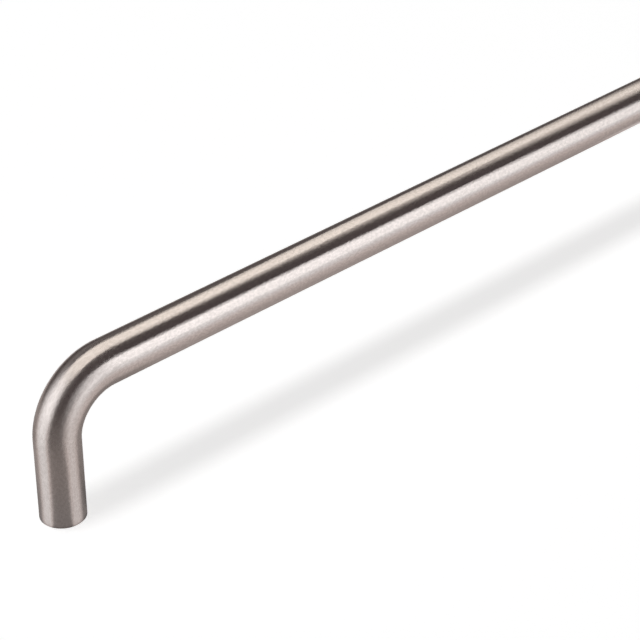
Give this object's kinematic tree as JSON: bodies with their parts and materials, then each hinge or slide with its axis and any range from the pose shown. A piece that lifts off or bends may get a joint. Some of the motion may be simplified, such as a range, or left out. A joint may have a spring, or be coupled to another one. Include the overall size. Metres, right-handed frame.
{
  "type": "cabinet handle",
  "caption": "Round brushed steel bar bent square at its ends into a pull handle for a cabinet door or drawer, with a tapped fixing hole in each foot.",
  "frame": {"origin": "on the plane of the door, midway between the middles of the two feet", "axes": "+X along the grip, +Y across it, +Z away from the door towards the hand"},
  "size_m": [0.234, 0.01, 0.037],
  "materials": {
    "brushed_steel": "stainless steel, brushed round the bar to a fine satin"
  },
  "bodies": {
    "root": {"handle_bar": "brushed_steel"}
  },
  "joints": []
}
